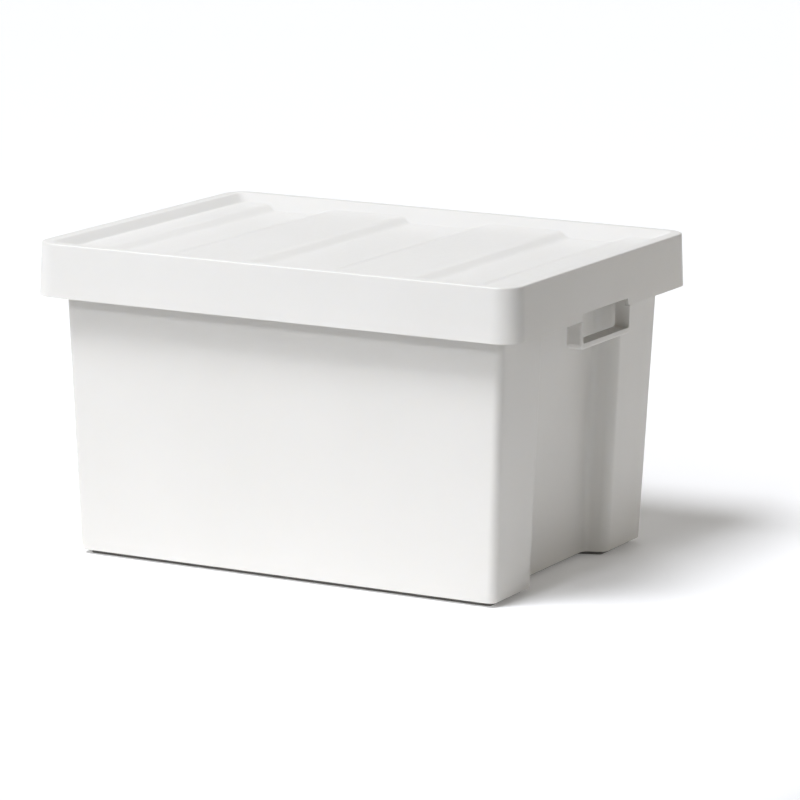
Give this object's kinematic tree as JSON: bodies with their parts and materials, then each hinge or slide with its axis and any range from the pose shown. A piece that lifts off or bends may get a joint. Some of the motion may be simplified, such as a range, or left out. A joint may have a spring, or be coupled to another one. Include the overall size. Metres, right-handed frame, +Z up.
{
  "type": "stacking storage crate",
  "caption": "White plastic stacking crate with drafted walls, end handles under a broad rim and a deep-skirted lift-off lid with shallow cross channels.",
  "frame": {"origin": "on the floor, under the middle of the crate", "axes": "+X along the long side, +Y across, +Z up"},
  "size_m": [0.5126, 0.387, 0.3045],
  "materials": {
    "tub_plastic": "satin moulded polypropylene, slightly translucent",
    "lid_plastic": "satin moulded polypropylene, slightly translucent"
  },
  "bodies": {
    "tub": {"crate_tub": "tub_plastic"},
    "lid": {"lid": "lid_plastic"}
  },
  "joints": [
    {"name": "lid_lift", "type": "slide", "parent": "tub", "child": "lid", "axis": [0, 0, 1], "range_m": [0, 0.15]}
  ]
}
